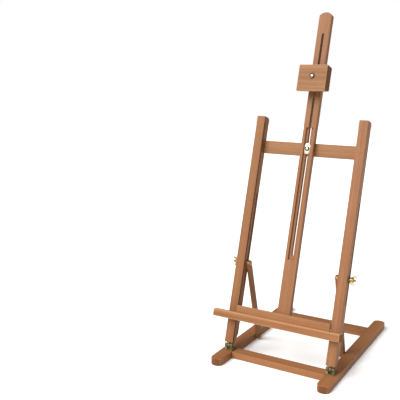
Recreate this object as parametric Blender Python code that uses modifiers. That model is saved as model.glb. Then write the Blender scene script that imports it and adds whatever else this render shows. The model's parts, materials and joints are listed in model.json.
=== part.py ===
"""Tabletop H-frame easel: hinged base, tilting frame, two slotted stays, sliding mast and clamp block.

Frame pieces are drawn in the frame's own coordinates: x across, y = n from the front plane of the
uprights towards the back, z = s along the uprights from the level of the rail tops.
"""

import math

import bmesh
import bpy
from mathutils import Matrix, Vector

GAP = 0.0003
BOX_CENTRE_SHIFT = 0.0085

RAIL_LENGTH = 0.453
RAIL_INNER = 0.1215
RAIL_OUTER = 0.1525
RAIL_HEIGHT = 0.018
RAIL_CORNER = 0.0135
BASE_BAR_FRONT = (-0.169, -0.138)
BASE_BAR_REAR = (0.132, 0.162)
BASE_BAR_Z = (0.0008, 0.0172)

LEAN = math.radians(16.7)
FRAME_Y = -0.172
UPRIGHT_INNER = 0.1218
UPRIGHT_OUTER = 0.144
UPRIGHT_DEPTH = 0.0275
UPRIGHT_FOOT = 0.0225
UPRIGHT_TOP = 0.5986
SLOT_N = 0.019
SLOT_S = (0.165, 0.405)
SLOT_WIDTH = 0.0058

UPPER_BAR_N = (0.0188, 0.0285)
UPPER_BAR_S = (0.5075, 0.5394)
LOWER_BAR_N = (0.0006, 0.016)
LOWER_BAR_S = (0.0827, 0.1007)
MAST_SOCKET_DEPTH = 0.007
BACKBOARD_N = (-0.005, 0.0003)
BACKBOARD_S = (0.098, 0.118)
SHELF_X = (-0.177, 0.153)
SHELF_N = (-0.023, 0.0003)
SHELF_S = (0.0827, 0.1007)
HOUSING_DEPTH = 0.0006

MAST_WIDTH = 0.0326
MAST_N = (0.003, 0.0185)
MAST_S = (0.0943, 0.8654)
MAST_SHOULDER = 0.008
MAST_SLOT_S = (0.259, 0.8116)
MAST_GROOVE_S = (0.2497, 0.5753)
MAST_GROOVE_WIDTH = 0.0172
MAST_GROOVE_DEPTH = 0.005
MAST_BOLT_S = 0.5235

BLOCK_WIDTH = 0.0735
BLOCK_N = (-0.0287, 0.0026)
BLOCK_S = (0.6580, 0.7242)
BLOCK_UNDERCUT = 0.007
BLOCK_BOLT_S = 0.696

STAY_X = (0.1121, 0.1211)
STAY_WIDTH = 0.015
STAY_PIVOT = (-0.027, 0.010)
STAY_BOLT_S = 0.2245

BOLT_RADIUS = 0.0025
BORE_RADIUS = 0.0028
HEAD_RADIUS = 0.006
WASHER_RADIUS = 0.008
WASHER_THICKNESS = 0.0014
NUT_HEIGHT = 0.009

HINGE_N = 0.006
HINGE_S = 0.01537
HINGE_WIDTH = 0.0205
KNUCKLE_RADIUS = 0.0042
PIN_RADIUS = 0.0022
LEAF_THICKNESS = 0.0013
BEVEL_ANGLE = math.atan2(0.0225, 0.0155)
BEVEL_OFFSET = 0.00091
SCREW_RADIUS = 0.0015
SCREW_BORE = 0.0018

ROUND_STEPS = 24
SIDES = (("left", -1), ("right", 1))
WORLD = Matrix.Translation((BOX_CENTRE_SHIFT, 0, 0))
DATUM = WORLD @ Matrix.Translation((0, FRAME_Y, RAIL_HEIGHT)) @ Matrix.Rotation(-LEAN, 4, "X")


def collection(name):
    made = bpy.data.collections.new(name)
    bpy.context.scene.collection.children.link(made)
    return made


def material(name, colour, roughness, metallic):
    made = bpy.data.materials.new(name)
    made.use_nodes = True
    shader = made.node_tree.nodes["Principled BSDF"]
    shader.inputs["Base Color"].default_value = (*colour, 1)
    shader.inputs["Roughness"].default_value = roughness
    shader.inputs["Metallic"].default_value = metallic
    made.diffuse_color = (*colour, 1)
    return made


for old in list(bpy.data.objects):
    bpy.data.objects.remove(old)

EASEL = collection("tabletop_easel")
CUTTERS = collection("cutters")
CUTTERS.hide_render = True
WOOD = material("wood", (0.56, 0.29, 0.12), 0.45, 0.0)
BRASS = material("brass", (0.80, 0.58, 0.24), 0.28, 1.0)
STEEL = material("steel", (0.74, 0.72, 0.68), 0.30, 1.0)


def arc(centre, radius, start, end, steps):
    """Points of an arc, its angles in degrees."""
    points = []
    for i in range(steps + 1):
        angle = math.radians(start + (end - start) * i / steps)
        points.append((centre[0] + radius * math.cos(angle), centre[1] + radius * math.sin(angle)))
    return points


def rounded_rectangle(u, v, radius, steps):
    points = []
    for i, (cu, cv) in enumerate(((1, 1), (0, 1), (0, 0), (1, 0))):
        centre = (u[cu] + radius * (1 - 2 * cu), v[cv] + radius * (1 - 2 * cv))
        points += arc(centre, radius, 90 * i, 90 * i + 90, steps)
    return points


def stadium(u, v_low, v_high, radius, steps=8):
    """A slot outline round the line u, its ends at v_low and v_high."""
    upper = arc((u, v_high - radius), radius, 0, 180, steps)
    return upper + arc((u, v_low + radius), radius, 180, 360, steps)


def object_of(bm, name, group=None):
    mesh = bpy.data.meshes.new(name)
    bm.to_mesh(mesh)
    bm.free()
    made = bpy.data.objects.new(name, mesh)
    (group or bpy.context.scene.collection).objects.link(made)
    return made


def evaluated_mesh(obj):
    bpy.context.view_layer.update()
    graph = bpy.context.evaluated_depsgraph_get()
    return bpy.data.meshes.new_from_object(obj.evaluated_get(graph))


def prism(name, outline, low, high, axes, group=None):
    """A flat outline made solid. axes names the local axes of its u, its v and its depth."""
    curve = bpy.data.curves.new(name, "CURVE")
    curve.dimensions = "2D"
    curve.fill_mode = "BOTH"
    curve.extrude = (high - low) / 2
    spline = curve.splines.new("POLY")
    spline.points.add(len(outline) - 1)
    for point, (u, v) in zip(spline.points, outline):
        point.co = (u, v, 0, 1)
    spline.use_cyclic_u = True
    carrier = bpy.data.objects.new(name, curve)
    bpy.context.scene.collection.objects.link(carrier)
    bm = bmesh.new()
    bm.from_mesh(evaluated_mesh(carrier))
    bpy.data.objects.remove(carrier)
    bmesh.ops.remove_doubles(bm, verts=bm.verts, dist=1e-6)
    bmesh.ops.translate(bm, verts=bm.verts, vec=(0, 0, (low + high) / 2))
    turn = Matrix.Identity(4)
    for column, axis in enumerate(axes):
        turn.col[column] = [float(axis == name_of) for name_of in "xyz"] + [0]
    bm.transform(turn)
    bm.normal_update()
    bmesh.ops.recalc_face_normals(bm, faces=bm.faces)
    flat = [edge for edge in bm.edges if edge.calc_face_angle(1) < 0.001]
    bmesh.ops.dissolve_edges(bm, edges=flat, use_verts=False)
    return object_of(bm, name, group)


def box(name, x, y, z, group=None):
    bm = bmesh.new()
    centre = [(low + high) / 2 for low, high in (x, y, z)]
    sizes = [abs(high - low) for low, high in (x, y, z)]
    bmesh.ops.create_cube(bm, size=1, matrix=Matrix.Translation(centre) @ Matrix.Diagonal((*sizes, 1)))
    return object_of(bm, name, group)


def rod(name, radius, low, high, axis, at=(0, 0, 0), segments=ROUND_STEPS, group=None):
    """A round bar along a local axis, from low to high."""
    bm = bmesh.new()
    bmesh.ops.create_cone(
        bm, cap_ends=True, segments=segments, radius1=radius, radius2=radius, depth=high - low
    )
    bmesh.ops.translate(bm, verts=bm.verts, vec=(0, 0, (low + high) / 2))
    turns = {"x": Matrix.Rotation(math.pi / 2, 4, "Y"), "y": Matrix.Rotation(-math.pi / 2, 4, "X")}
    bm.transform(Matrix.Translation(at) @ turns.get(axis, Matrix.Identity(4)))
    return object_of(bm, name, group)


def turned(name, profile):
    """A profile of (radius, height) points, top to bottom, turned about Z."""
    mesh = bpy.data.meshes.new(name)
    mesh.from_pydata([(r, 0, z) for r, z in profile], [(i, i + 1) for i in range(len(profile) - 1)], [])
    made = bpy.data.objects.new(name, mesh)
    bpy.context.scene.collection.objects.link(made)
    screw = made.modifiers.new("turn", "SCREW")
    screw.steps = ROUND_STEPS
    screw.render_steps = ROUND_STEPS
    screw.use_merge_vertices = True
    screw.merge_threshold = 0.00001
    return made


def bevelled(obj, width, segments=2):
    bevel = obj.modifiers.new("edges", "BEVEL")
    bevel.width = width
    bevel.segments = segments
    bevel.limit_method = "ANGLE"
    bevel.angle_limit = math.radians(30)
    return obj


def boolean(obj, other, operation="DIFFERENCE"):
    cut = obj.modifiers.new("cut_" + other.name, "BOOLEAN")
    cut.object = other
    cut.operation = operation
    cut.solver = "EXACT"
    return obj


def realised(obj, helpers=()):
    """The object with its modifiers made real, and its helpers removed."""
    mesh = evaluated_mesh(obj)
    name = obj.name
    for used in (obj, *helpers):
        bpy.data.objects.remove(used)
    mesh.name = name
    return mesh


def rounded(mesh, angle=35):
    mesh.shade_smooth()
    mesh.set_sharp_from_angle(angle=math.radians(angle))
    return mesh


def empty(name, matrix, parent=None):
    made = bpy.data.objects.new(name, None)
    EASEL.objects.link(made)
    made.parent = parent
    made.matrix_world = matrix
    bpy.context.view_layer.update()
    return made


def place(obj, matrix, shade, pivot):
    """Moves a piece into the easel's collection, at its matrix and under its pivot."""
    for group in list(obj.users_collection):
        group.objects.unlink(obj)
    EASEL.objects.link(obj)
    if shade.name not in obj.data.materials:
        obj.data.materials.append(shade)
    if pivot:
        obj.parent = pivot
        obj.matrix_parent_inverse = pivot.matrix_world.inverted()
    obj.matrix_world = matrix
    return obj


def copy_of(mesh, name, matrix, shade, pivot):
    return place(bpy.data.objects.new(name, mesh), matrix, shade, pivot)


def cutter(obj, matrix, *targets):
    """Sets a helper in place and takes it out of each target."""
    for group in list(obj.users_collection):
        group.objects.unlink(obj)
    CUTTERS.objects.link(obj)
    obj.display_type = "WIRE"
    obj.hide_render = True
    obj.matrix_world = matrix
    for target in targets:
        boolean(target, obj)


def facing(direction):
    """A turn that takes +Z to the direction."""
    return Vector(direction).to_track_quat("Z", "Y").to_matrix().to_4x4()


def span(side, inner, outer):
    return tuple(sorted((side * inner, side * outer)))


def dome_bolt(name, head_radius, head_height, length):
    """A bolt with its head's underside at the origin and its shank down -Z."""
    profile = [(0, head_height), (head_radius * 0.45, head_height * 0.93)]
    profile += [(head_radius * 0.8, head_height * 0.66), (head_radius, head_height * 0.28)]
    profile += [(head_radius, 0), (BOLT_RADIUS, 0), (BOLT_RADIUS, -length + 0.0006)]
    profile += [(BOLT_RADIUS - 0.0006, -length), (0, -length)]
    return rounded(realised(turned(name, profile)))


def small_screw(name, length):
    profile = [(0, 0.0009), (0.0018, 0.0007), (0.0030, 0), (SCREW_RADIUS, 0)]
    profile += [(SCREW_RADIUS, -length), (0, -length)]
    return rounded(realised(turned(name, profile)))


def washer(name, radius, bore):
    ring = rod(name, radius, 0, WASHER_THICKNESS, "z")
    hole = rod(name + "_hole", bore, -0.002, 0.004, "z")
    return rounded(realised(boolean(ring, hole), [hole]))


def wing_nut(name):
    """A wing nut on Z, its base at the origin."""
    hub = turned(name, [(0, NUT_HEIGHT), (0.0047, NUT_HEIGHT), (0.0064, 0.002), (0.0064, 0), (0, 0)])
    ear = [(0.0, 0.0008), (0.0060, 0.0010), (0.0093, 0.0032), (0.0117, 0.0078)]
    ear += arc((0.0103, 0.0113), 0.0023, -20, 165, 7)
    ear += [(0.0066, 0.0082), (0.0, 0.0070)]
    outline = ear + [(-u, v) for u, v in reversed(ear[1:-1])]
    wings = prism(name + "_wings", outline, -0.0013, 0.0013, "xzy")
    bevelled(wings, 0.0006, 2)
    hole = rod(name + "_bore", BORE_RADIUS, -0.003, 0.02, "z")
    boolean(boolean(hub, wings, "UNION"), hole)
    return rounded(realised(hub, [wings, hole]))


def foot_outline():
    """The upright from the side, as (n, s)."""
    points = [(0, UPRIGHT_FOOT), (0.012, UPRIGHT_FOOT), (UPRIGHT_DEPTH, UPRIGHT_FOOT + 0.0225)]
    points += arc((UPRIGHT_DEPTH - 0.008, UPRIGHT_TOP - 0.008), 0.008, 0, 90, 5)
    return points + [(0, UPRIGHT_TOP)]


def mast_outline():
    half = MAST_WIDTH / 2
    radius = (half**2 + MAST_SHOULDER**2) / (2 * MAST_SHOULDER)
    edge = math.degrees(math.acos(half / radius))
    crown = arc((0, MAST_S[1] - radius), radius, edge, 180 - edge, 10)
    return [(-half, MAST_S[0]), (half, MAST_S[0])] + crown


def hinge_base_leaf(name):
    """The leaf on the rail, with its axis at the origin."""
    top = RAIL_HEIGHT + GAP + LEAF_THICKNESS - HINGE_AT[1]
    half = HINGE_WIDTH / 2
    plate = box(name, (-half, half), (-0.0052, 0.024), (top - LEAF_THICKNESS, top))
    bevelled(plate, 0.0004, 1)
    helpers = []
    for sign in (-1, 1):
        inner, outer = span(sign, 0.0043, half)
        knuckle = rod(f"{name}_knuckle{sign}", KNUCKLE_RADIUS, inner, outer, "x")
        riser = box(f"{name}_riser{sign}", (inner, outer), (-0.0025, 0.0025), (top - 0.0005, 0))
        helpers += [riser, knuckle]
    for helper in helpers:
        boolean(plate, helper, "UNION")
    holes = [rod(name + "_bore", PIN_RADIUS + GAP, -0.02, 0.02, "x")]
    for x, y in BASE_SCREWS:
        holes.append(rod(f"{name}_hole{y}", SCREW_BORE, -0.02, 0, "z", (x, y, 0), 16))
    for hole in holes:
        boolean(plate, hole)
    return rounded(realised(plate, helpers + holes))


def hinge_frame_leaf(name):
    """The leaf on the foot's bevel: its axis at the origin, +Y up the bevel, -Z out of it."""
    z = (-BEVEL_OFFSET - GAP - LEAF_THICKNESS, -BEVEL_OFFSET - GAP)
    half = HINGE_WIDTH / 2
    plate = box(name, (-half, half), (0.0062, 0.034), z)
    bevelled(plate, 0.0004, 1)
    tongue = box(name + "_tongue", (-0.0039, 0.0039), (0.0, 0.0075), (z[0] + 0.0001, z[1] - 0.0001))
    knuckle = rod(name + "_knuckle", KNUCKLE_RADIUS, -0.0040, 0.0040, "x")
    boolean(boolean(plate, tongue, "UNION"), knuckle, "UNION")
    holes = [rod(name + "_bore", PIN_RADIUS + GAP, -0.02, 0.02, "x")]
    for x, y in FRAME_SCREWS:
        holes.append(rod(f"{name}_hole{y}", SCREW_BORE, -0.01, 0.01, "z", (x, y, 0), 16))
    for hole in holes:
        boolean(plate, hole)
    return rounded(realised(plate, [tongue, knuckle] + holes))


HINGE_AT = (
    FRAME_Y + HINGE_S * math.sin(LEAN) + HINGE_N * math.cos(LEAN),
    RAIL_HEIGHT + HINGE_S * math.cos(LEAN) - HINGE_N * math.sin(LEAN),
)
BASE_SCREWS = ((-0.005, 0.0095), (0.005, 0.0185))
FRAME_SCREWS = ((-0.005, 0.0150), (0.005, 0.0270))
STAY_TOP = (
    FRAME_Y + STAY_BOLT_S * math.sin(LEAN) + SLOT_N * math.cos(LEAN),
    RAIL_HEIGHT + STAY_BOLT_S * math.cos(LEAN) - SLOT_N * math.sin(LEAN),
)
STAY_LENGTH = math.dist(STAY_TOP, STAY_PIVOT)
STAY_ANGLE = math.atan2(STAY_PIVOT[0] - STAY_TOP[0], STAY_TOP[1] - STAY_PIVOT[1])
UPRIGHT_MIDDLE = (UPRIGHT_INNER + UPRIGHT_OUTER) / 2

frame_pivot = empty("frame_pivot", WORLD @ Matrix.Translation((0, *HINGE_AT)))
mast_slide = empty("mast_slide", DATUM @ Matrix.Translation((0, MAST_N[0], MAST_S[0])), frame_pivot)
block_slide = empty("block_slide", DATUM @ Matrix.Translation((0, BLOCK_N[1], BLOCK_BOLT_S)), mast_slide)

# Base: two rails and two bars, doweled together.
front_bar = box(
    "base_crossbar_front", (-RAIL_INNER + GAP, RAIL_INNER - GAP), BASE_BAR_FRONT, BASE_BAR_Z
)
rear_bar = box("base_crossbar_rear", (-RAIL_INNER + GAP, RAIL_INNER - GAP), BASE_BAR_REAR, BASE_BAR_Z)
rails = {}
for side_name, side in SIDES:
    outline = rounded_rectangle(
        span(side, RAIL_INNER, RAIL_OUTER), (-RAIL_LENGTH / 2, RAIL_LENGTH / 2), RAIL_CORNER, 5
    )
    rail = prism(f"base_rail_{side_name}", outline, 0, RAIL_HEIGHT, "xyz")
    rails[side] = place(bevelled(rail, 0.0014), WORLD, WOOD, None)
for bar in (front_bar, rear_bar):
    place(bevelled(bar, 0.0012), WORLD, WOOD, None)

# Frame: uprights, bars and shelf.
uprights = {}
for side_name, side in SIDES:
    upright = prism(
        f"upright_{side_name}", foot_outline(), *span(side, UPRIGHT_INNER, UPRIGHT_OUTER), "yzx"
    )
    uprights[side] = place(bevelled(upright, 0.0012), DATUM, WOOD, frame_pivot)
    housing_x = span(side, UPRIGHT_INNER - 0.01, UPRIGHT_OUTER + 0.01)
    housing_s = (SHELF_S[0] - 0.001, SHELF_S[1] + 0.001)
    cutter(box("housing", housing_x, (-0.01, HOUSING_DEPTH), housing_s), DATUM, upright)
    slot = prism("slot", stadium(SLOT_N, *SLOT_S, SLOT_WIDTH / 2), *span(side, 0.11, 0.16), "yzx")
    cutter(slot, DATUM, upright)

bar_x = (-UPRIGHT_INNER + GAP, UPRIGHT_INNER - GAP)
upper_bar = place(
    bevelled(box("upper_crossbar", bar_x, UPPER_BAR_N, UPPER_BAR_S), 0.0012), DATUM, WOOD, frame_pivot
)
lower_bar = place(
    bevelled(box("lower_crossbar", bar_x, LOWER_BAR_N, LOWER_BAR_S), 0.001), DATUM, WOOD, frame_pivot
)
socket = box("mast_socket", (-0.017, 0.017), (-0.01, 0.03), (LOWER_BAR_S[1] - MAST_SOCKET_DEPTH, 0.12))
cutter(socket, DATUM, lower_bar)
backboard = bevelled(box("shelf_backboard", bar_x, BACKBOARD_N, BACKBOARD_S), 0.0012)
place(backboard, DATUM, WOOD, frame_pivot)
shelf_plan = rounded_rectangle(SHELF_X, SHELF_N, 0.004, 3)
shelf = prism("canvas_shelf", shelf_plan, *SHELF_S, "xyz")
place(bevelled(shelf, 0.0025, 3), DATUM, WOOD, frame_pivot)
rebate_x = (-UPRIGHT_INNER, UPRIGHT_INNER)
rebate = box("rebate", rebate_x, (BACKBOARD_N[0] - GAP, 0.01), (BACKBOARD_S[0] - GAP, BACKBOARD_S[1]))
cutter(rebate, DATUM, shelf)

# Dowels, each half in one piece and half in the next.
for side_name, side in SIDES:
    for bar, label, y in (
        (front_bar, "front", sum(BASE_BAR_FRONT) / 2),
        (rear_bar, "rear", sum(BASE_BAR_REAR) / 2),
    ):
        x = span(side, RAIL_INNER - 0.014, RAIL_INNER + 0.014)
        dowel = rod(f"base_dowel_{label}_{side_name}", 0.004, *x, "x", (0, y, 0.0075), 16)
        place(dowel, WORLD, WOOD, None)
        x = (x[0] - GAP, x[1] + GAP)
        cutter(rod("dowel_bore", 0.004 + GAP, *x, "x", (0, y, 0.0075), 16), WORLD, bar, rails[side])
    for bar, label, n, s in (
        (upper_bar, "upper", sum(UPPER_BAR_N) / 2, sum(UPPER_BAR_S) / 2),
        (lower_bar, "lower", 0.0108, sum(LOWER_BAR_S) / 2),
    ):
        x = span(side, UPRIGHT_INNER - 0.012, UPRIGHT_INNER + 0.012)
        dowel = rod(f"{label}_dowel_{side_name}", 0.0025, *x, "x", (0, n, s), 16)
        place(dowel, DATUM, WOOD, frame_pivot)
        x = (x[0] - GAP, x[1] + GAP)
        cutter(rod("dowel_bore", 0.0025 + GAP, *x, "x", (0, n, s), 16), DATUM, bar, uprights[side])

# Mast, with a wide groove in front for its plate and a narrow slot right through.
mast = prism("mast", mast_outline(), *MAST_N, "xzy")
place(bevelled(mast, 0.0014), DATUM, WOOD, mast_slide)
groove_x = (-MAST_GROOVE_WIDTH / 2, MAST_GROOVE_WIDTH / 2)
cutter(box("mast_groove", groove_x, (-0.02, MAST_N[0] + MAST_GROOVE_DEPTH), MAST_GROOVE_S), DATUM, mast)
cutter(prism("mast_slot", stadium(0, *MAST_SLOT_S, SLOT_WIDTH / 2), -0.01, 0.03, "xzy"), DATUM, mast)

# Clamp block.
front, rear = BLOCK_N
block_side = [(front, BLOCK_S[0]), (rear, BLOCK_S[0] + BLOCK_UNDERCUT), (rear, BLOCK_S[1]), (front, BLOCK_S[1])]
block = prism("clamp_block", block_side, -BLOCK_WIDTH / 2, BLOCK_WIDTH / 2, "yzx")
place(bevelled(block, 0.0028, 3), DATUM, WOOD, block_slide)

# Bolts, washers and wing nuts on the mast and the block.
forward = facing((0, -1, 0))
backward = facing((0, 1, 0))
washer_mesh = washer("washer", WASHER_RADIUS, BORE_RADIUS)
nut_mesh = wing_nut("wing_nut")

plate_front = MAST_N[0] + MAST_GROOVE_DEPTH - GAP - 0.002
plate = prism("mast_plate", stadium(0, MAST_BOLT_S - 0.0138, MAST_BOLT_S + 0.0138, 0.0076), plate_front,
              plate_front + 0.002, "xzy")
place(bevelled(plate, 0.0004, 1), DATUM, STEEL, frame_pivot)
bore_s = Matrix.Translation((0, 0, MAST_BOLT_S))
cutter(rod("mast_bolt_bore", BORE_RADIUS, -0.05, 0.06, "y"), DATUM @ bore_s, plate, upper_bar)
head_n = plate_front - GAP
washer_n = UPPER_BAR_N[1] + GAP
nut_n = washer_n + WASHER_THICKNESS + GAP
length = nut_n + NUT_HEIGHT + 0.006 - head_n
copy_of(dome_bolt("mast_bolt", HEAD_RADIUS, 0.0024, length), "mast_bolt",
        DATUM @ Matrix.Translation((0, head_n, MAST_BOLT_S)) @ forward, STEEL, frame_pivot)
copy_of(washer_mesh, "mast_washer", DATUM @ Matrix.Translation((0, washer_n, MAST_BOLT_S)) @ backward,
        BRASS, frame_pivot)
copy_of(nut_mesh, "mast_wing_nut", DATUM @ Matrix.Translation((0, nut_n, MAST_BOLT_S)) @ backward
        @ Matrix.Rotation(math.radians(70), 4, "Z"), BRASS, frame_pivot)

bore_s = Matrix.Translation((0, 0, BLOCK_BOLT_S))
cutter(rod("block_bolt_bore", BORE_RADIUS, -0.06, 0.05, "y"), DATUM @ bore_s, block)
head_n = BLOCK_N[0] - GAP
washer_n = MAST_N[1] + GAP
nut_n = washer_n + WASHER_THICKNESS + GAP
length = nut_n + NUT_HEIGHT + 0.006 - head_n
copy_of(dome_bolt("block_bolt", 0.0064, 0.0030, length), "block_bolt",
        DATUM @ Matrix.Translation((0, head_n, BLOCK_BOLT_S)) @ forward, STEEL, block_slide)
copy_of(washer_mesh, "block_washer", DATUM @ Matrix.Translation((0, washer_n, BLOCK_BOLT_S)) @ backward,
        BRASS, block_slide)
copy_of(nut_mesh, "block_wing_nut", DATUM @ Matrix.Translation((0, nut_n, BLOCK_BOLT_S)) @ backward
        @ Matrix.Rotation(math.radians(15), 4, "Z"), BRASS, block_slide)

# Stays, their foot pivots and the bolts that slide in the uprights' slots.
pivot_length = 0.0275
pivot_mesh = dome_bolt("stay_pivot_screw", HEAD_RADIUS, 0.0028, pivot_length)
head_mesh = dome_bolt("stay_bolt_head", HEAD_RADIUS, 0.0028, STAY_X[1] - STAY_X[0] + GAP)
pivot_washer_mesh = washer("pivot_washer", 0.0068, BORE_RADIUS)
shank_x = STAY_X[1] + 2 * GAP
washer_x = UPRIGHT_OUTER + GAP
nut_x = washer_x + WASHER_THICKNESS + GAP
shank_end = nut_x + NUT_HEIGHT + 0.005
for side_name, side in SIDES:
    foot = WORLD @ Matrix.Translation((0, *STAY_PIVOT)) @ Matrix.Rotation(STAY_ANGLE, 4, "X")
    stay_pivot = empty(f"stay_pivot_{side_name}", foot)
    outline = stadium(0, -STAY_WIDTH / 2, STAY_LENGTH + STAY_WIDTH / 2, STAY_WIDTH / 2, 10)
    stay = prism(f"stay_{side_name}", outline, *span(side, *STAY_X), "yzx")
    place(bevelled(stay, 0.0009), foot, WOOD, stay_pivot)
    for z in (0, STAY_LENGTH):
        cutter(rod("stay_bore", BORE_RADIUS, *span(side, 0.10, 0.13), "x", (0, 0, z)), foot, stay)
    inward = facing((-side, 0, 0))
    outward = facing((side, 0, 0))
    at_foot = WORLD @ Matrix.Translation((0, *STAY_PIVOT))
    washer_in = STAY_X[0] - GAP - WASHER_THICKNESS
    place_x = Matrix.Translation((side * washer_in, 0, 0))
    copy_of(pivot_washer_mesh, f"stay_pivot_washer_{side_name}", at_foot @ place_x @ outward, BRASS, None)
    place_x = Matrix.Translation((side * (washer_in - GAP), 0, 0))
    copy_of(pivot_mesh, f"stay_pivot_screw_{side_name}", at_foot @ place_x @ inward, BRASS, None)
    end = washer_in - GAP + pivot_length
    hole = rod("pivot_bore", BORE_RADIUS, *span(side, 0.10, end + GAP), "x")
    cutter(hole, at_foot, rails[side])
    place_x = Matrix.Translation((side * (STAY_X[0] - GAP), 0, STAY_LENGTH))
    copy_of(head_mesh, f"stay_bolt_head_{side_name}", foot @ place_x @ inward, BRASS, stay_pivot)
    at_bolt = DATUM @ Matrix.Translation((0, SLOT_N, STAY_BOLT_S))
    carriage = empty(f"stay_carriage_{side_name}", at_bolt, frame_pivot)
    shank = rod(f"stay_bolt_shank_{side_name}", BOLT_RADIUS, *span(side, shank_x, shank_end), "x")
    rounded(shank.data)
    place(shank, at_bolt, BRASS, carriage)
    copy_of(washer_mesh, f"stay_washer_{side_name}",
            at_bolt @ Matrix.Translation((side * washer_x, 0, 0)) @ outward, BRASS, carriage)
    copy_of(nut_mesh, f"stay_wing_nut_{side_name}",
            at_bolt @ Matrix.Translation((side * nut_x, 0, 0)) @ outward
            @ Matrix.Rotation(math.radians(60), 4, "Z"), BRASS, carriage)

# Hinges under the uprights.
base_leaf_mesh = hinge_base_leaf("hinge_base_leaf")
frame_leaf_mesh = hinge_frame_leaf("hinge_frame_leaf")
base_screw_mesh = small_screw("hinge_base_screw", 0.0060)
frame_screw_mesh = small_screw("hinge_frame_screw", 0.0085)
base_top = RAIL_HEIGHT + GAP + LEAF_THICKNESS - HINGE_AT[1] + GAP
frame_out = -BEVEL_OFFSET - 2 * GAP - LEAF_THICKNESS
for side_name, side in SIDES:
    at_hinge = WORLD @ Matrix.Translation((side * UPRIGHT_MIDDLE, *HINGE_AT))
    on_bevel = at_hinge @ Matrix.Rotation(BEVEL_ANGLE - LEAN, 4, "X")
    copy_of(base_leaf_mesh, f"hinge_base_leaf_{side_name}", at_hinge, BRASS, None)
    copy_of(frame_leaf_mesh, f"hinge_frame_leaf_{side_name}", on_bevel, BRASS, frame_pivot)
    pin = rod(f"hinge_pin_{side_name}", PIN_RADIUS, -0.0092, 0.0092, "x")
    rounded(pin.data)
    place(pin, at_hinge, STEEL, None)
    for number, (x, y) in enumerate(BASE_SCREWS, 1):
        at = at_hinge @ Matrix.Translation((x, y, base_top))
        copy_of(base_screw_mesh, f"hinge_base_screw_{side_name}_{number}", at, STEEL, None)
        cutter(rod("screw_bore", SCREW_BORE, -0.0060 - GAP, 0, "z", (0, 0, 0), 16), at, rails[side])
    for number, (x, y) in enumerate(FRAME_SCREWS, 1):
        at = on_bevel @ Matrix.Translation((x, y, frame_out)) @ Matrix.Rotation(math.pi, 4, "X")
        copy_of(frame_screw_mesh, f"hinge_frame_screw_{side_name}_{number}", at, STEEL, frame_pivot)
        cutter(rod("screw_bore", SCREW_BORE, -0.0085 - GAP, 0, "z", (0, 0, 0), 16), at, uprights[side])

# The stopped groove down the inner face of each upright.
for side_name, side in SIDES:
    groove = box("groove", span(side, 0.11, UPRIGHT_INNER + 0.005), (0.002, 0.0065), (0, UPRIGHT_TOP - 0.014))
    cutter(groove, DATUM, uprights[side])
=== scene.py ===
"""Looks of the tabletop easel: oiled wood, brass and steel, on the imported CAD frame.

Wooden pieces keep their CAD mesh and get a grain of their own. Every visible metal piece is replaced by
one of the same size: bolts and washers are turned, wing nuts are cast, and the rest are copies with
joined faces."""

import json
import math

import bmesh
import bpy
from mathutils import Matrix, Vector


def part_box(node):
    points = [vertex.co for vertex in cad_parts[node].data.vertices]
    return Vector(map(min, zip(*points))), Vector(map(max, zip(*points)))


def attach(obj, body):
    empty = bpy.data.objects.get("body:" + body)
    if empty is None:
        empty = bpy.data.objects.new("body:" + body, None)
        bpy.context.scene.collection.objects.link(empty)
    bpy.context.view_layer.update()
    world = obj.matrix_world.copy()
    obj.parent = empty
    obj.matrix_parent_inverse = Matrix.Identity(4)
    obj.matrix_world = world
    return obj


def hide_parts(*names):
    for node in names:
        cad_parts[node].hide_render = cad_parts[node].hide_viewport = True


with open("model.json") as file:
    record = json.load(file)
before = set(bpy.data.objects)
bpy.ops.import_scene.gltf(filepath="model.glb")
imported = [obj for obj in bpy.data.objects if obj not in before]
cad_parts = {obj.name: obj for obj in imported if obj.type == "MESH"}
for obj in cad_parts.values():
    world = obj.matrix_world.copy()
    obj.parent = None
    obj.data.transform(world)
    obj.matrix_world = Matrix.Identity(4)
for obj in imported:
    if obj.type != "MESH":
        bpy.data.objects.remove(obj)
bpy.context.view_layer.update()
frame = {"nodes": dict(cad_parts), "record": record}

LEAN = math.radians(16.7)
UP_FRAME = Vector((0, math.sin(LEAN), math.cos(LEAN)))
BACK_FRAME = Vector((0, math.cos(LEAN), -math.sin(LEAN)))
OUT_FRONT = -BACK_FRAME
ACROSS = Vector((1, 0, 0))
ALONG = Vector((0, 1, 0))
MIDDLE_X = sum(corner.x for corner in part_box("mast")) / 2

NODES = frame["nodes"]
SLOTS = {entry["node"]: entry["material_slot"] for entry in frame["record"]["subparts"]}
BODY_OF = {
    node: body
    for body, members in frame["record"]["behaviour"]["bodies"].items()
    for node in members
}

# Points of the CAD meshes nearer than this are one point.
WELD_DISTANCE = 2e-6
SHORTEST_EDGE = 1e-6

# The angles in degrees above which an edge shades as a crease.
CAD_CREASE = 32
WOOD_CREASE = 40
COPY_CREASE = 35
TURNED_CREASE = 38
WASHER_CREASE = 50
CAST_CREASE = 60


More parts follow.
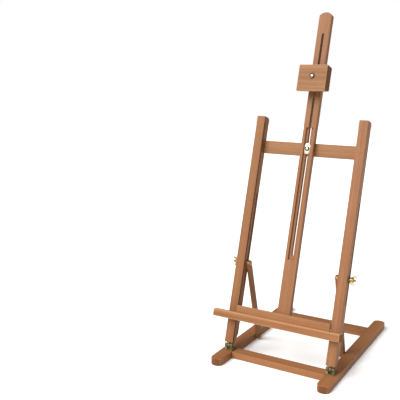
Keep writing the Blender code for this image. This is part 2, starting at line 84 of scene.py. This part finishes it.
class Graph:
    """A short way to wire a material's nodes."""

    def __init__(self, name):
        self.material = bpy.data.materials.new(name)
        self.material.use_nodes = True
        self.tree = self.material.node_tree
        self.shader = self.tree.nodes["Principled BSDF"]

    def feed(self, socket, value):
        if isinstance(value, bpy.types.NodeSocket):
            self.tree.links.new(value, socket)
        else:
            socket.default_value = value

    def shade(self, **values):
        """Sets or links the shader's inputs, named with _ for each space."""
        for key, value in values.items():
            self.feed(self.shader.inputs[key.replace("_", " ")], value)

    def node(self, kind, inputs=None, **settings):
        made = self.tree.nodes.new(kind)
        for key, value in settings.items():
            setattr(made, key, value)
        for key, value in (inputs or {}).items():
            self.feed(made.inputs[key], value)
        return made

    def math(self, operation, *values, clamp=False):
        made = self.node("ShaderNodeMath", operation=operation, use_clamp=clamp)
        for index, value in enumerate(values):
            self.feed(made.inputs[index], value)
        return made.outputs[0]

    def times(self, first, second, clamp=False):
        return self.math("MULTIPLY", first, second, clamp=clamp)

    def excess(self, value, floor, gain):
        """How far the value is over the floor, times the gain."""
        return self.times(self.math("SUBTRACT", value, floor, clamp=True), gain)

    def times_plus(self, value, factor, more, clamp=False):
        return self.math("MULTIPLY_ADD", value, factor, more, clamp=clamp)

    def between(self, value, low, high):
        """0 at low and 1 at high, and held at that outside them."""
        made = self.node("ShaderNodeMapRange", {"Value": value, "From Min": low, "From Max": high})
        return made.outputs["Result"]

    def mix(self, factor, first, second):
        made = self.node("ShaderNodeMix", {0: factor, 6: first, 7: second}, data_type="RGBA")
        return made.outputs[2]

    def ramp(self, value, stops):
        made = self.node("ShaderNodeValToRGB", {"Fac": value})
        ramp = made.color_ramp
        while len(ramp.elements) < len(stops):
            ramp.elements.new(0.5)
        for element, (position, colour) in zip(ramp.elements, stops):
            element.position = position
            element.color = colour
        return made.outputs["Color"]

    def mapped(self, vector, **settings):
        """The vector after the Rotation, Location or Scale given."""
        return self.node("ShaderNodeMapping", {"Vector": vector, **settings}).outputs["Vector"]

    def noise(self, vector, scale, detail, roughness=0.55, distortion=0.0):
        inputs = {"Vector": vector, "Scale": scale, "Detail": detail}
        inputs.update({"Roughness": roughness, "Distortion": distortion})
        return self.node("ShaderNodeTexNoise", inputs).outputs["Fac"]

    def bump(self, height, strength, distance):
        inputs = {"Height": height, "Strength": strength, "Distance": distance}
        self.shade(Normal=self.node("ShaderNodeBump", inputs).outputs["Normal"])


def grey(value):
    return (value, value, value, 1)


def toned(colour, tone):
    """The colour times the tone, as the nodes take it."""
    return (*(part * by for part, by in zip(colour, tone)), 1)


# Wood.

WOOD_LIGHT = (0.290, 0.133, 0.054)
WOOD_MIDDLE = (0.236, 0.101, 0.038)
WOOD_DARK = (0.160, 0.061, 0.019)
# The pale colour painted on as a highlight along rounded edges, and as light on the ledge's top and
# underside.
WOOD_PAINTED_LIGHT = (0.50, 0.265, 0.125)
PORE_BROWN = (0.10, 0.038, 0.016)
END_DARK = (0.058, 0.019, 0.006)
END_PALE = (0.125, 0.046, 0.015)

# How closely each feature of the wood repeats, along its grain and across it.
BEND = (2.2, 14.0)
BANDS = (0.9, 60.0)
RINGS = (0.55, 34.0)
FINE = (9.0, 620.0)
PORES = (36.0, 1500.0)
CLOUDS = (5.0, 16.0)
PATCHES = (30.0, 90.0)
END_SPECKLE = (40.0, 900.0)

# Where each piece of wood is cut from the pattern, per unit of its seed.
WOOD_SHIFT = (0.731, 0.417, 0.293)
# How far the top and the underside of the ledge are painted pale, as painted light.
LEDGE_PAINTED_LIGHT = 0.6

# The grain runs along X where a piece has no entry here. A stay's grain runs along the stay.
GRAINS = {
    "base_rail_left": ALONG,
    "base_rail_right": ALONG,
    "upright_left": UP_FRAME,
    "upright_right": UP_FRAME,
    "mast": UP_FRAME,
}
TONES = {
    "base_rail_left": (1.04, 0.98, 0.92),
    "base_rail_right": (1.10, 1.04, 0.98),
    "base_crossbar_front": (1.06, 1.02, 0.98),
    "base_crossbar_rear": (1.04, 0.98, 0.92),
    "upright_left": (0.93, 0.91, 0.89),
    "upright_right": (1.06, 1.06, 1.16),
    "mast": (0.99, 1.00, 1.05),
    "clamp_block": (1.04, 1.10, 1.16),
    "canvas_shelf": (1.13, 1.14, 1.17),
    "shelf_backboard": (1.10, 1.12, 1.14),
    "upper_crossbar": (1.00, 1.04, 1.10),
    "lower_crossbar": (0.94, 0.92, 0.90),
}
USUAL_TONE = (1.0, 0.97, 0.94)


def wood(name, grain, across, tone, seed, painted_lift):
    """Oiled hardwood whose grain runs along the direction grain: growth bands, fine pores, short flecks,
    dark end grain on the faces that cut across it, and a painted highlight, in patches, on the rounded
    edges between faces. across is a second direction of the piece, square to the grain, and the last
    argument is how far the faces towards it are painted paler, as painted light."""
    g = Graph(name)
    turn = grain.to_track_quat("X", "Z").inverted().to_euler("XYZ")
    place = g.node("ShaderNodeTexCoord")
    turned = g.mapped(place.outputs["Object"], Rotation=tuple(turn))
    moved = g.mapped(turned, Location=tuple(seed * shift for shift in WOOD_SHIFT))

    def stretched(feature):
        lengthwise, crosswise = feature
        return g.mapped(moved, Scale=(lengthwise, crosswise, crosswise))

    def faces(way):
        """How squarely a face looks along the direction, either way."""
        inputs = {0: place.outputs["Normal"], 1: tuple(way)}
        facing = g.node("ShaderNodeVectorMath", inputs, operation="DOT_PRODUCT")
        return g.math("ABSOLUTE", facing.outputs["Value"])

    bend = g.noise(stretched(BEND), 1.0, 2.0)
    bands = g.noise(stretched(BANDS), 1.0, 3.0, 0.5, 0.35)
    rings = g.node(
        "ShaderNodeTexWave",
        {"Vector": stretched(RINGS), "Scale": 2.4, "Distortion": 9.0, "Detail": 3.0,
         "Detail Scale": 0.8, "Detail Roughness": 0.6},
        wave_type="BANDS", bands_direction="Y",
    ).outputs["Fac"]
    fine = g.noise(stretched(FINE), 1.0, 3.0, 0.6)
    pores = g.noise(stretched(PORES), 1.0, 2.0, 0.5)
    flecks = g.ramp(pores, [(0.60, grey(0.0)), (0.72, grey(1.0))])
    cloud = g.noise(stretched(CLOUDS), 1.0, 2.0)

    # The deepest browns keep their blue whatever the tone.
    brown_tone = (*tone[:2], 1.0)
    light, middle, dark = (toned(colour, tone) for colour in (WOOD_LIGHT, WOOD_MIDDLE, WOOD_DARK))
    tint = g.times_plus(rings, 0.25, g.times(bands, 0.75))
    colour = g.ramp(tint, [(0.18, dark), (0.46, middle), (0.80, light)])
    colour = g.mix(g.excess(fine, 0.35, 0.9), colour, dark)
    colour = g.mix(g.excess(cloud, 0.42, 1.1), colour, light)
    colour = g.mix(g.times(flecks, 0.55), colour, toned(PORE_BROWN, brown_tone))

    # Painted highlight on the rounded edges, in patches, and painted light on the faces towards across.
    ended, topped, sided = faces(grain), faces(grain.cross(across)), faces(across)
    squarest = g.math("MAXIMUM", ended, g.math("MAXIMUM", sided, topped))
    # Mask of the painted edge highlight: bevel faces next to the faces square to both directions.
    painted_edge_highlight = g.times(g.between(squarest, 0.985, 0.86), g.times(topped, 3.0, clamp=True))
    patchy = g.times_plus(g.noise(stretched(PATCHES), 1.0, 2.0), 0.7, 0.22, clamp=True)
    painted_light_colour = toned(WOOD_PAINTED_LIGHT, tone)
    colour = g.mix(g.times(painted_edge_highlight, patchy), colour, painted_light_colour)
    # Painted light: the faces towards across are painted paler.
    if painted_lift:
        colour = g.mix(g.times(g.between(sided, 0.75, 0.98), painted_lift), colour, painted_light_colour)

    # End grain.
    end = g.between(ended, 0.62, 0.95)
    speckle = g.noise(stretched(END_SPECKLE), 1.0, 2.0)
    end_brown = g.mix(speckle, toned(END_DARK, brown_tone), toned(END_PALE, brown_tone))
    colour = g.mix(g.times(end, 0.8), colour, end_brown)

    rough = g.times_plus(fine, 0.16, g.times_plus(bend, 0.10, 0.42))
    g.shade(Base_Color=colour, Roughness=g.times_plus(end, 0.20, rough))
    g.shade(Specular_IOR_Level=0.20, Coat_Weight=0.03, Coat_Roughness=0.30)
    relief = g.times_plus(flecks, -0.7, g.times_plus(fine, 0.8, g.times(bands, 0.5)))
    g.bump(relief, 0.22, 0.0004)
    return g.material


def middle_of(node):
    low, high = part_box(node)
    return (low + high) / 2


def stay_direction(side):
    """From a stay's foot to its top bolt."""
    head = middle_of(f"stay_bolt_head_{side}")
    foot = middle_of(f"stay_pivot_screw_{side}")
    return Vector((0, head.y - foot.y, head.z - foot.z)).normalized()


def wood_of(node, seed):
    """The wood of one piece, with the grain along its length."""
    grain = GRAINS.get(node, ACROSS)
    if node in ("stay_left", "stay_right"):
        grain = stay_direction(node.split("_")[1])
    across = ACROSS
    if grain is ACROSS:
        across = ALONG if node.startswith("base") else UP_FRAME
    # Only the ledge gets painted light on its top and underside.
    painted_lift = LEDGE_PAINTED_LIGHT if node == "canvas_shelf" else 0.0
    return wood("wood_" + node, grain, across, TONES.get(node, USUAL_TONE), seed, painted_lift)


# Metal.

METAL_SHIFT = (1.0, 0.6, 0.3)
SCRATCHES = (300.0, 3200.0, 900.0)
BLOTCH_SCALE = 160.0
GRIT_SCALE = 2600.0


def metal(name, colour, painted_light_colour, roughness, seed=0.0):
    """Cast or turned metal: soft blotches of tarnish, fine scratches and a slight roughness change."""
    g = Graph(name)
    place = g.node("ShaderNodeTexCoord").outputs["Object"]
    moved = g.mapped(place, Location=tuple(seed * shift for shift in METAL_SHIFT))
    blotch = g.noise(moved, BLOTCH_SCALE, 4.0, 0.6)
    grit = g.noise(moved, GRIT_SCALE, 2.0, 0.5)
    lines = g.noise(g.mapped(moved, Scale=SCRATCHES), 1.0, 2.0)
    tarnish = g.ramp(blotch, [(0.42, grey(0.0)), (0.70, grey(1.0))])
    g.shade(Base_Color=g.mix(g.times(tarnish, 0.6), (*colour, 1), (*painted_light_colour, 1)), Metallic=1.0)
    g.shade(Roughness=g.times_plus(blotch, 0.18, g.times_plus(lines, 0.12, roughness - 0.14)))
    g.bump(g.times_plus(lines, 0.5, grit), 0.12, 0.0002)
    return g.material


BRASS = metal("brass_cast", (0.40, 0.30, 0.13), (0.20, 0.14, 0.06), 0.38)
# Pale centre of the front bolt heads: a painted highlight.
BRASS_PAINTED_HIGHLIGHT = metal("brass_painted_highlight", (0.90, 0.82, 0.62), (0.74, 0.62, 0.38), 0.34, 2.0)
# Dark rim of the front bolt heads: a painted dark reflection.
BRASS_PAINTED_DARK_REFLECTION = metal("brass_painted_dark_reflection", (0.115, 0.095, 0.055), (0.07, 0.055, 0.03), 0.45, 4.0)
BRASS_PLATE = metal("brass_plate", (0.22, 0.175, 0.085), (0.12, 0.095, 0.05), 0.60, 3.0)
STEEL = metal("steel_plated", (0.80, 0.75, 0.62), (0.66, 0.59, 0.45), 0.48, 5.0)
STEEL_SCREW = metal("steel_screw", (0.30, 0.25, 0.15), (0.18, 0.14, 0.08), 0.52, 6.0)


def metal_of(node):
    """The metal of one piece, for its slot and its name."""
    if SLOTS[node] == "steel":
        return STEEL_SCREW if node.startswith("hinge") else STEEL
    return BRASS_PLATE if "leaf" in node or "washer" in node else BRASS


for index, (node, piece) in enumerate(sorted(NODES.items())):
    shade = wood_of(node, 1.0 + index) if SLOTS[node] == "wood" else metal_of(node)
    piece.data.materials.clear()
    piece.data.materials.append(shade)
    piece.data.shade_smooth()
    piece.data.set_sharp_from_angle(angle=math.radians(CAD_CREASE))


# Hardware: bolts with a cut thread and a rimmed or domed head, washers, and cast wing nuts. Each stands
# on its CAD node's own axis, and its size comes from that node.

TURN_STEPS = 40
SHANK = 0.0025
BORE_GAP = 0.0003
WASHER_CHAMFER = 0.0003

THREAD_PITCH = 0.0008
THREAD_DEPTH = 0.0004
TIP_LENGTH = 0.001
TIP_CHAMFER = 0.0003
# One turn of the thread: how far in and how far down each point is, the second as a part of the pitch.
THREAD_TURN = ((THREAD_DEPTH, 0.40), (THREAD_DEPTH, 0.55), (0.0, 0.95))

# Half the outline of a bolt's head, as parts of its radius and of its height.
RIMMED = (
    (0, 0.95), (0.28, 0.92), (0.43, 0.76), (0.51, 0.45), (0.53, 0.20), (0.60, 0.20), (0.63, 0.74),
    (0.70, 0.94), (0.82, 0.98), (0.93, 0.80), (0.985, 0.48), (1.0, 0.20), (0.985, 0.0),
)
DOMED = (
    (0, 1.0), (0.22, 0.98), (0.44, 0.91), (0.64, 0.79), (0.80, 0.62), (0.92, 0.42), (0.985, 0.22),
    (1.0, 0.10), (0.985, 0.0),
)
# The rim, which takes a painted dark reflection on the front bolts, starts at this part of the head's
# radius.
# The faces of the head lie within this many times its height from its top.
RIM_START = 0.55
HEAD_END = 1.01

BLOCK_HEAD = 0.0030
MAST_HEAD = 0.0024
STAY_HEAD = 0.0028
NUT_THREAD = 0.0150
PIVOT_THREAD = 0.012
HEAD_THREAD = 0.002

CAST_VOXEL = 0.00032
CAST_SOFTNESS = 0.5
CAST_PASSES = 5


def extent(node, way):
    """How far the node reaches along the direction, back and forward."""
    reach = [vertex.co.dot(way) for vertex in NODES[node].data.vertices]
    return min(reach), max(reach)


def radius_of(node, outward):
    """Half the node's width, square to outward."""
    low, high = extent(node, outward.orthogonal().normalized())
    return (high - low) / 2


def axis_place(node, outward):
    """A matrix at the middle of the node's far end, with +Z outward."""
    turn = outward.to_track_quat("Z", "Y").to_matrix()
    spot = outward * extent(node, outward)[1]
    for way in (turn.col[0], turn.col[1]):
        low, high = extent(node, way)
        spot = spot + way * ((low + high) / 2)
    return Matrix.Translation(spot) @ turn.to_4x4()


def linked(name, bm, materials, crease):
    """An object made of the mesh, in the scene."""
    bmesh.ops.recalc_face_normals(bm, faces=bm.faces)
    mesh = bpy.data.meshes.new(name)
    bm.to_mesh(mesh)
    bm.free()
    mesh.shade_smooth()
    mesh.set_sharp_from_angle(angle=math.radians(crease))
    for shade in materials:
        mesh.materials.append(shade)
    made = bpy.data.objects.new(name, mesh)
    bpy.context.scene.collection.objects.link(made)
    return made


def stand_in(made, node):
    """The piece takes the node's place: its body and its hiding."""
    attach(made, BODY_OF[node])
    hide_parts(node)


def turned_mesh(profile):
    """Turns a line of (radius, height) points about Z. One that starts on the axis also ends on it, and
    any other is closed into a ring."""
    bm = bmesh.new()
    ends = {}
    rings = []
    for i in range(TURN_STEPS):
        angle = 2 * math.pi * i / TURN_STEPS
        ring = []
        for j, (r, z) in enumerate(profile):
            if r == 0 and j not in ends:
                ends[j] = bm.verts.new((0, 0, z))
            spot = (r * math.cos(angle), r * math.sin(angle), z)
            ring.append(ends[j] if r == 0 else bm.verts.new(spot))
        rings.append(ring)
    spans = len(profile) if profile[0][0] else len(profile) - 1
    for i in range(TURN_STEPS):
        near, far = rings[i], rings[(i + 1) % TURN_STEPS]
        for j in range(spans):
            k = (j + 1) % len(profile)
            bm.faces.new(list(dict.fromkeys((near[j], far[j], far[k], near[k]))))
    return bm


def turned(node, outward, bm, materials, crease):
    """The turned mesh stands in for the node, with its top at the node's far end."""
    made = linked(node + "_turned", bm, materials, crease)
    made.matrix_world = axis_place(node, outward)
    stand_in(made, node)


def threaded(node, outward, length):
    """The profile of a screw thread that long, down to a chamfered tip at the node's near end."""
    low, high = extent(node, outward)
    tip = low - high
    top = tip + length
    points = [(SHANK, top)]
    for i in range(int((top - tip - TIP_LENGTH) / THREAD_PITCH)):
        z = top - i * THREAD_PITCH
        points += [(SHANK - depth, z - THREAD_PITCH * down) for depth, down in THREAD_TURN]
    return points + [(SHANK - THREAD_DEPTH - TIP_CHAMFER, tip), (0, tip)]


def bolt(node, outward, shape, head, length, rim, centre):
    """A bolt with that shape and height of head, and a thread of that length at its tip."""
    radius = radius_of(node, outward)
    profile = [(r * radius, h * head - head) for r, h in shape]
    bm = turned_mesh(profile + [(SHANK, -head), *threaded(node, outward, length)])
    for face in bm.faces:
        spot = face.calc_center_median()
        on_head = spot.z > -HEAD_END * head
        # Rim faces take the rim's material and the rest the centre's: on the front bolts, a painted dark
        # reflection round a painted highlight.
        face.material_index = int(on_head and math.hypot(spot.x, spot.y) > RIM_START * radius)
    turned(node, outward, bm, (centre, rim), TURNED_CREASE)


def shank(node, outward, length):
    """A shank with no head, and a thread of that length at its tip."""
    profile = [(0, 0), (SHANK, 0), *threaded(node, outward, length)]
    turned(node, outward, turned_mesh(profile), (BRASS,), TURNED_CREASE)


def washer(node, outward):
    """A pressed washer with broken edges."""
    low, high = extent(node, outward)
    radius, bore, thick = radius_of(node, outward), SHANK + BORE_GAP, high - low
    chamfer = WASHER_CHAMFER
    profile = [
        (bore, -chamfer), (bore + chamfer, 0), (radius - chamfer, 0), (radius, -chamfer),
        (radius, chamfer - thick), (radius - chamfer, -thick), (bore, -thick),
    ]
    turned(node, outward, turned_mesh(profile), (BRASS_PLATE,), WASHER_CREASE)


def welded(node, crease):
    """A copy of the node with its faces joined, so that it shades smoothly."""
    bm = bmesh.new()
    bm.from_mesh(NODES[node].data)
    bmesh.ops.remove_doubles(bm, verts=bm.verts, dist=WELD_DISTANCE)
    bmesh.ops.dissolve_degenerate(bm, edges=bm.edges, dist=SHORTEST_EDGE)
    return linked(node + "_smooth", bm, list(NODES[node].data.materials), crease)


def cast_nut(node):
    """A wing nut with the soft corners of a casting."""
    made = welded(node, CAST_CREASE)
    cast = made.modifiers.new("cast", "REMESH")
    cast.mode = "VOXEL"
    cast.voxel_size = CAST_VOXEL
    cast.use_smooth_shade = True
    soft = made.modifiers.new("soft", "SMOOTH")
    soft.factor = CAST_SOFTNESS
    soft.iterations = CAST_PASSES
    stand_in(made, node)


def evened(node):
    """Wood shades flat on its faces, and smoothly round its edges and bores."""
    modifiers = NODES[node].modifiers
    modifiers.new("join", "WELD").merge_threshold = WELD_DISTANCE
    modifiers.new("crisp", "EDGE_SPLIT").split_angle = math.radians(WOOD_CREASE)
    modifiers.new("even", "WEIGHTED_NORMAL").weight = 50


# Front bolt heads: a painted highlight in the middle and a painted dark reflection on the rim.
bolt("block_bolt", OUT_FRONT, RIMMED, BLOCK_HEAD, NUT_THREAD, BRASS_PAINTED_DARK_REFLECTION, BRASS_PAINTED_HIGHLIGHT)
bolt("mast_bolt", OUT_FRONT, RIMMED, MAST_HEAD, NUT_THREAD, BRASS_PAINTED_DARK_REFLECTION, BRASS_PAINTED_HIGHLIGHT)
for side, inward in (("left", ACROSS), ("right", -ACROSS)):
    bolt(f"stay_pivot_screw_{side}", inward, DOMED, STAY_HEAD, PIVOT_THREAD, BRASS, BRASS)
    bolt(f"stay_bolt_head_{side}", inward, DOMED, STAY_HEAD, HEAD_THREAD, BRASS, BRASS)
    shank(f"stay_bolt_shank_{side}", inward, NUT_THREAD)
for node in sorted(NODES):
    if "wing_nut" in node:
        cast_nut(node)
    elif "washer" in node:
        washer(node, ACROSS if node.startswith("stay") else BACK_FRAME)
    elif SLOTS[node] == "wood":
        evened(node)
    elif not NODES[node].hide_render:
        stand_in(welded(node, COPY_CREASE), node)

# Floor, light and camera.

FLOOR_REACH = 6.0
FLOOR_DROP = 0.0002
SUN_STRENGTH = 4.72
SUN_SPREAD = math.radians(50)
SUN_WAY = Vector((0.28, 0.65, -0.71))
WORLD_COLOUR = (1.0, 0.965, 0.92, 1)
WORLD_STRENGTH = 0.38
CAMERA_PLACE = Vector((0.6076 + MIDDLE_X, -1.5327, 0.7170))
CAMERA_AIM = Vector((0.1669 + MIDDLE_X, -0.8007, 0.5436))
LENS = 59.68
SENSOR_WIDTH = 36.0
NEAREST_SEEN = 0.01


def stage_floor():
    """White paper just under the base, a little brighter than its light makes it."""
    bm = bmesh.new()
    bmesh.ops.create_grid(bm, x_segments=1, y_segments=1, size=FLOOR_REACH)
    mesh = bpy.data.meshes.new("floor")
    bm.to_mesh(mesh)
    bm.free()
    floor = bpy.data.objects.new("floor", mesh)
    bpy.context.scene.collection.objects.link(floor)
    g = Graph("floor_paper")
    g.shade(Base_Color=grey(0.95), Roughness=0.85)
    g.shade(Emission_Color=(0.95, 0.97, 1.0, 1), Emission_Strength=0.13)
    mesh.materials.append(g.material)
    floor.location.z = -FLOOR_DROP


def studio_world():
    """White behind the object, and a dimmer even light from all round."""
    world = bpy.data.worlds.new("studio")
    world.use_nodes = True
    tree = world.node_tree
    seen = tree.nodes["Background"]
    seen.inputs["Color"].default_value = grey(1)
    seen.inputs["Strength"].default_value = 1.0
    lighting = tree.nodes.new("ShaderNodeBackground")
    lighting.inputs["Color"].default_value = WORLD_COLOUR
    lighting.inputs["Strength"].default_value = WORLD_STRENGTH
    rays = tree.nodes.new("ShaderNodeLightPath")
    either = tree.nodes.new("ShaderNodeMixShader")
    tree.links.new(rays.outputs["Is Camera Ray"], either.inputs[0])
    tree.links.new(lighting.outputs[0], either.inputs[1])
    tree.links.new(seen.outputs[0], either.inputs[2])
    tree.links.new(either.outputs[0], tree.nodes["World Output"].inputs["Surface"])
    bpy.context.scene.world = world


def pointed(name, data, way):
    """A light or a camera that points along the direction."""
    made = bpy.data.objects.new(name, data)
    bpy.context.scene.collection.objects.link(made)
    made.rotation_mode = "QUATERNION"
    made.rotation_quaternion = way.to_track_quat("-Z", "Y")
    return made


stage_floor()
sun = bpy.data.lights.new("key", "SUN")
sun.energy = SUN_STRENGTH
sun.angle = SUN_SPREAD
pointed("key", sun, SUN_WAY)
studio_world()
bpy.context.scene.view_settings.view_transform = "Standard"

lens = bpy.data.cameras.new("camera")
lens.lens = LENS
lens.sensor_width = SENSOR_WIDTH
lens.clip_start = NEAREST_SEEN
camera = pointed("camera", lens, CAMERA_AIM - CAMERA_PLACE)
camera.location = CAMERA_PLACE
bpy.context.scene.camera = camera
